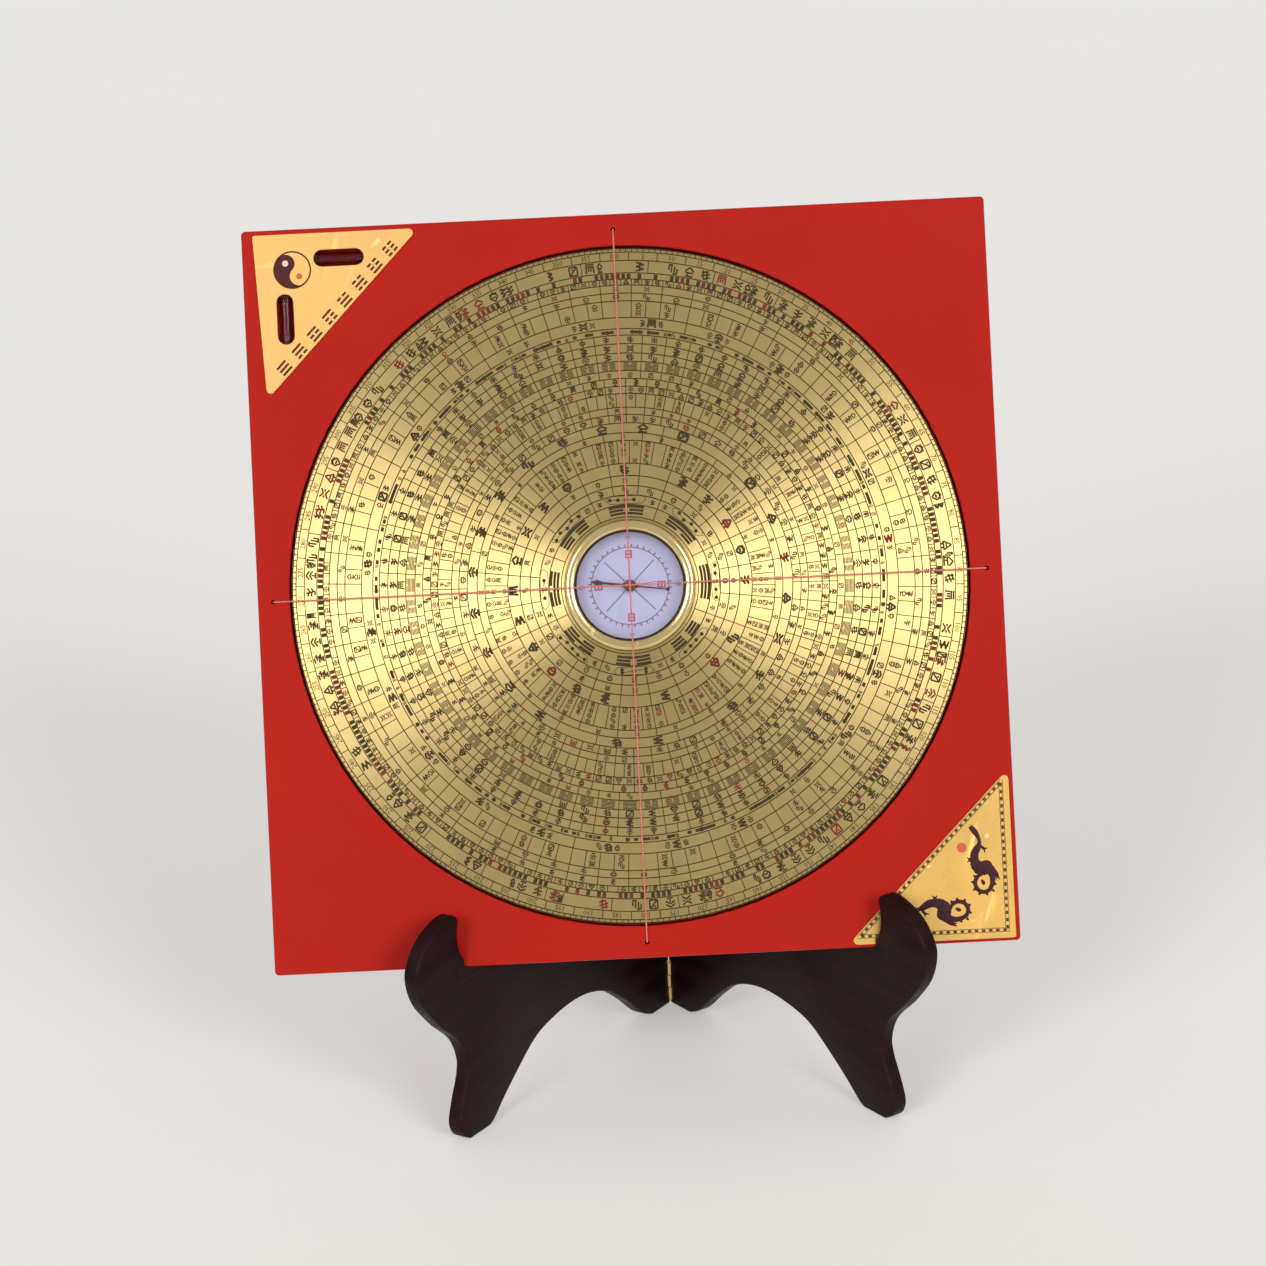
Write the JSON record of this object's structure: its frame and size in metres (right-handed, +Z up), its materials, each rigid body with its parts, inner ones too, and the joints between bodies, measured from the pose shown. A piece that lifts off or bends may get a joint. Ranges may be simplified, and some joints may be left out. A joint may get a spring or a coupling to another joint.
{
  "type": "feng shui compass",
  "caption": "Square lacquered feng shui compass with a turning ringed dial, glazed magnetic needle, crossed sighting threads and levels, leaning on a folding wooden stand.",
  "frame": {"origin": "centre of the bounding box in plan, on the floor under the stand's feet", "axes": "+X to the right seen from the front, +Y to the back, +Z up"},
  "size_m": [0.286, 0.1446, 0.3395],
  "materials": {
    "red_lacquer": "gloss red lacquer on wood",
    "dial_brass": "turned brass with engraved and printed rings",
    "polished_brass": "polished",
    "gold_plate": "gold coloured, mirror bright",
    "turned_wood": "bare turned wood",
    "dark_rosewood": "dark stained, satin",
    "red_thread": "thin twisted thread",
    "black_rubber": "soft black",
    "clear_glass": "clear, polished",
    "white_card": "printed white card",
    "blued_steel": "blued",
    "wine_liquid": "dark wine red liquid"
  },
  "bodies": {
    "stand_left": {"stand_left": "dark_rosewood", "lower_hinge_leaf_left": "polished_brass", "lower_hinge_screw_left_low": "polished_brass", "lower_hinge_screw_left_high": "polished_brass", "upper_hinge_leaf_left": "polished_brass", "upper_hinge_screw_left_low": "polished_brass", "upper_hinge_screw_left_high": "polished_brass", "lower_hinge_pin": "polished_brass", "upper_hinge_pin": "polished_brass"},
    "stand_right": {"stand_right": "dark_rosewood", "lower_hinge_leaf_right": "polished_brass", "lower_hinge_screw_right_low": "polished_brass", "lower_hinge_screw_right_high": "polished_brass", "upper_hinge_leaf_right": "polished_brass", "upper_hinge_screw_right_low": "polished_brass", "upper_hinge_screw_right_high": "polished_brass"},
    "compass_board": {"base_board": "red_lacquer", "thread_vertical": "red_thread", "thread_horizontal": "red_thread", "corner_plate_level": "gold_plate", "corner_plate_dragon": "gold_plate", "level_across_tube": "clear_glass", "level_across_liquid": "wine_liquid", "level_across_plug_far": "black_rubber", "level_across_plug_near": "black_rubber", "level_upright_tube": "clear_glass", "level_upright_liquid": "wine_liquid", "level_upright_plug_far": "black_rubber", "level_upright_plug_near": "black_rubber"},
    "dial": {"dial_disc": "turned_wood", "dial_face": "dial_brass", "capsule_cup": "polished_brass", "compass_card": "white_card", "pivot_pin": "blued_steel", "glass_lens": "clear_glass", "glass_gasket": "black_rubber", "bezel_ring": "polished_brass"},
    "needle": {"needle": "blued_steel", "needle_cap": "polished_brass"}
  },
  "joints": [
    {"name": "compass_lift", "type": "slide", "parent": "stand_left", "child": "compass_board", "axis": [0, 0, 1], "range_m": [0, 0.25]},
    {"name": "stand_fold", "type": "hinge", "parent": "stand_left", "child": "stand_right", "pos_m": [0.0085, 0.06872, 0], "axis": [0, 0, -1], "range_deg": [0, 67]},
    {"name": "dial_spin", "type": "hinge", "parent": "compass_board", "child": "dial", "pos_m": [0, 0.00263, 0.20538], "axis": [0, -0.9397, 0.342], "continuous": true},
    {"name": "needle_spin", "type": "hinge", "parent": "dial", "child": "needle", "pos_m": [0, 0.00263, 0.20538], "axis": [0, -0.9397, 0.342], "continuous": true}
  ],
  "couplings": [
    {"joint": "stand_fold", "follows": "compass_lift", "rad_per_m": 4.67}
  ]
}
